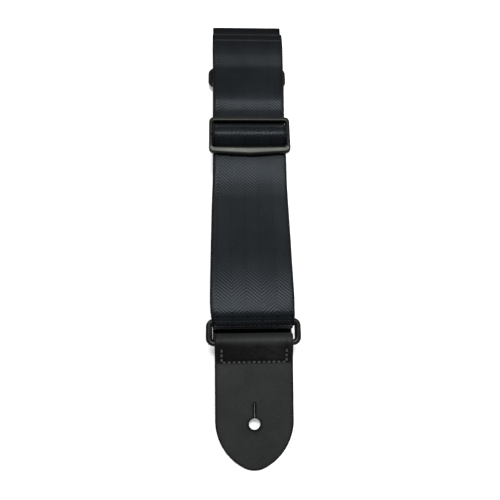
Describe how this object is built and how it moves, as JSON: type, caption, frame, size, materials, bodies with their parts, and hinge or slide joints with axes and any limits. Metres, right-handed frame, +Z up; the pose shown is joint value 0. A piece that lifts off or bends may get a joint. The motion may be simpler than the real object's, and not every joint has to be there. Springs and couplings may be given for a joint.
{
  "type": "guitar strap",
  "caption": "Adjustable webbing shoulder strap with a slider and a leather end on a ring at each end, folded flat in layers.",
  "frame": {"origin": "middle of the folded strap's footprint, on the surface that it lies on", "axes": "+X across the webbing, +Y from the front leather end towards the top fold, +Z up"},
  "size_m": [0.058, 0.3083, 0.031],
  "materials": {
    "webbing": "ribbed herringbone seat-belt webbing, blue-black",
    "plastic": "moulded black plastic with a soft sheen",
    "leather": "smooth black leather, fine grain, satin",
    "thread": "black sewing thread"
  },
  "bodies": {
    "bottom_layer": {"webbing_layer_4": "webbing", "webbing_fold_4": "webbing", "webbing_fold_5": "webbing"},
    "third_layer": {"webbing_layer_3": "webbing", "webbing_fold_3": "webbing"},
    "second_layer": {"webbing_layer_2": "webbing", "webbing_fold_2": "webbing"},
    "first_layer": {"webbing_layer_1": "webbing", "webbing_fold_1": "webbing"},
    "front_run": {"webbing_front": "webbing", "webbing_ring_wrap": "webbing", "webbing_tail": "webbing"},
    "slider": {"slider_frame": "plastic", "webbing_slider_bridge": "webbing", "webbing_slider_loop": "webbing", "webbing_sewn_end": "webbing", "slider_seam_stitching": "thread"},
    "front_ring": {"front_ring": "plastic"},
    "front_leather": {"front_leather_end": "leather", "front_end_stitching": "thread"},
    "rear_run": {"webbing_rear_end": "webbing", "rear_seam_stitching": "thread"},
    "rear_ring": {"rear_ring": "plastic"},
    "rear_leather": {"rear_leather_end": "leather", "rear_end_stitching": "thread"}
  },
  "joints": [
    {"name": "unfold_bottom", "type": "hinge", "parent": "bottom_layer", "child": "third_layer", "pos_m": [0, -0.077, 0.0032], "axis": [1, 0, 0], "range_deg": [0, 174], "deforming": ["webbing_fold_4"]},
    {"name": "unfold_third", "type": "hinge", "parent": "third_layer", "child": "second_layer", "pos_m": [0, 0.1522, 0.0157], "axis": [-1, 0, 0], "range_deg": [0, 173.61], "deforming": ["webbing_fold_3"]},
    {"name": "unfold_second", "type": "hinge", "parent": "second_layer", "child": "first_layer", "pos_m": [0, -0.068, 0.0115], "axis": [1, 0, 0], "range_deg": [0, 174.91], "deforming": ["webbing_fold_2"]},
    {"name": "unfold_top", "type": "hinge", "parent": "first_layer", "child": "front_run", "pos_m": [0, 0.141, 0.0203], "axis": [-1, 0, 0], "range_deg": [0, 172.34], "deforming": ["webbing_fold_1"]},
    {"name": "slider_slide", "type": "slide", "parent": "front_run", "child": "slider", "axis": [0, 1, -0.0067], "range_m": [-0.065, 0.04]},
    {"name": "front_ring_hinge", "type": "hinge", "parent": "front_run", "child": "front_ring", "pos_m": [0, -0.0688, 0.021], "axis": [-1, 0, 0], "range_deg": [0, 90]},
    {"name": "front_leather_hinge", "type": "hinge", "parent": "front_ring", "child": "front_leather", "pos_m": [0, -0.0817, 0.01942], "axis": [-1, 0, 0], "range_deg": [0, 75]},
    {"name": "unfold_rear", "type": "hinge", "parent": "bottom_layer", "child": "rear_run", "pos_m": [0, 0.146, 0.0102], "axis": [1, 0, 0], "range_deg": [0, 135], "deforming": ["webbing_fold_5"]},
    {"name": "rear_ring_hinge", "type": "hinge", "parent": "rear_run", "child": "rear_ring", "pos_m": [0, 0.1243, 0.0046], "axis": [1, 0, 0], "range_deg": [0, 55]},
    {"name": "rear_leather_hinge", "type": "hinge", "parent": "rear_ring", "child": "rear_leather", "pos_m": [0, 0.1113, 0.0046], "axis": [1, 0, 0], "range_deg": [0, 75]}
  ],
  "couplings": [
    {"joint": "unfold_third", "follows": "unfold_bottom", "ratio": 0.99491},
    {"joint": "unfold_second", "follows": "unfold_bottom", "ratio": 1.0023},
    {"joint": "unfold_top", "follows": "unfold_bottom", "ratio": 0.98759}
  ]
}
